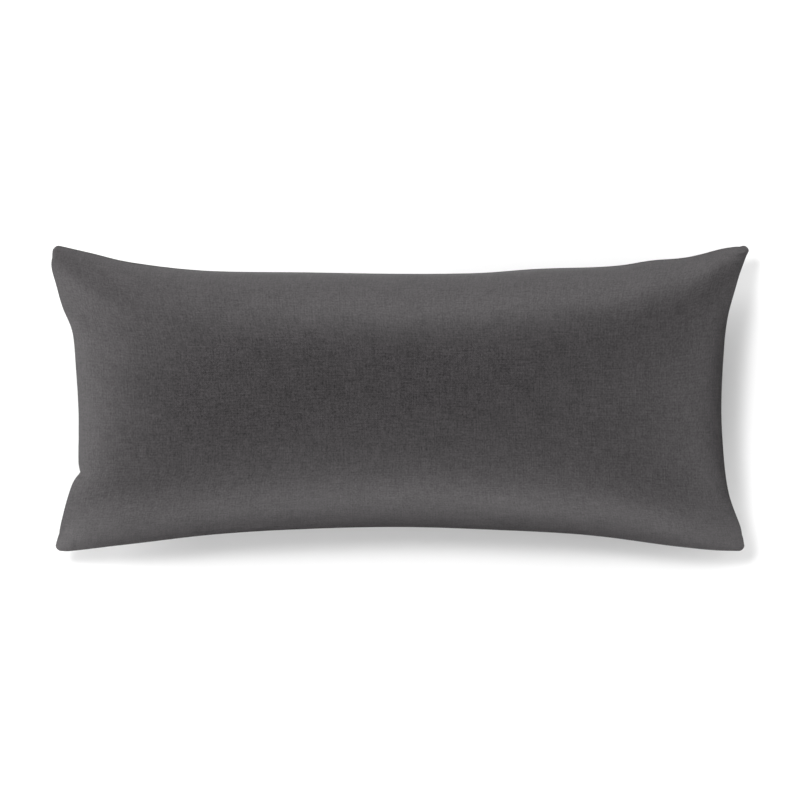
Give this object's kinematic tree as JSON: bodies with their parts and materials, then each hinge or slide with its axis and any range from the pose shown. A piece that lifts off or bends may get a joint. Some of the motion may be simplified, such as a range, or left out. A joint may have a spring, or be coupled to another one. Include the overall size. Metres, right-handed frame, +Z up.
{
  "type": "lumbar pillow",
  "caption": "Long filled lumbar pillow with knife edges, drawn-in sides and thin, drooping corner ears, lying on its back.",
  "frame": {"origin": "on the surface the pillow lies on, under the middle of its bounding box", "axes": "+X along the pillow's length, +Y across its width, +Z up out of the face that is seen"},
  "size_m": [0.9048, 0.3973, 0.1695],
  "materials": {
    "cover_cloth": "dark charcoal grey cloth of a fine, slightly uneven weave, matt, with a soft gloss at a glancing angle"
  },
  "bodies": {
    "root": {"pillow": "cover_cloth"}
  },
  "joints": []
}
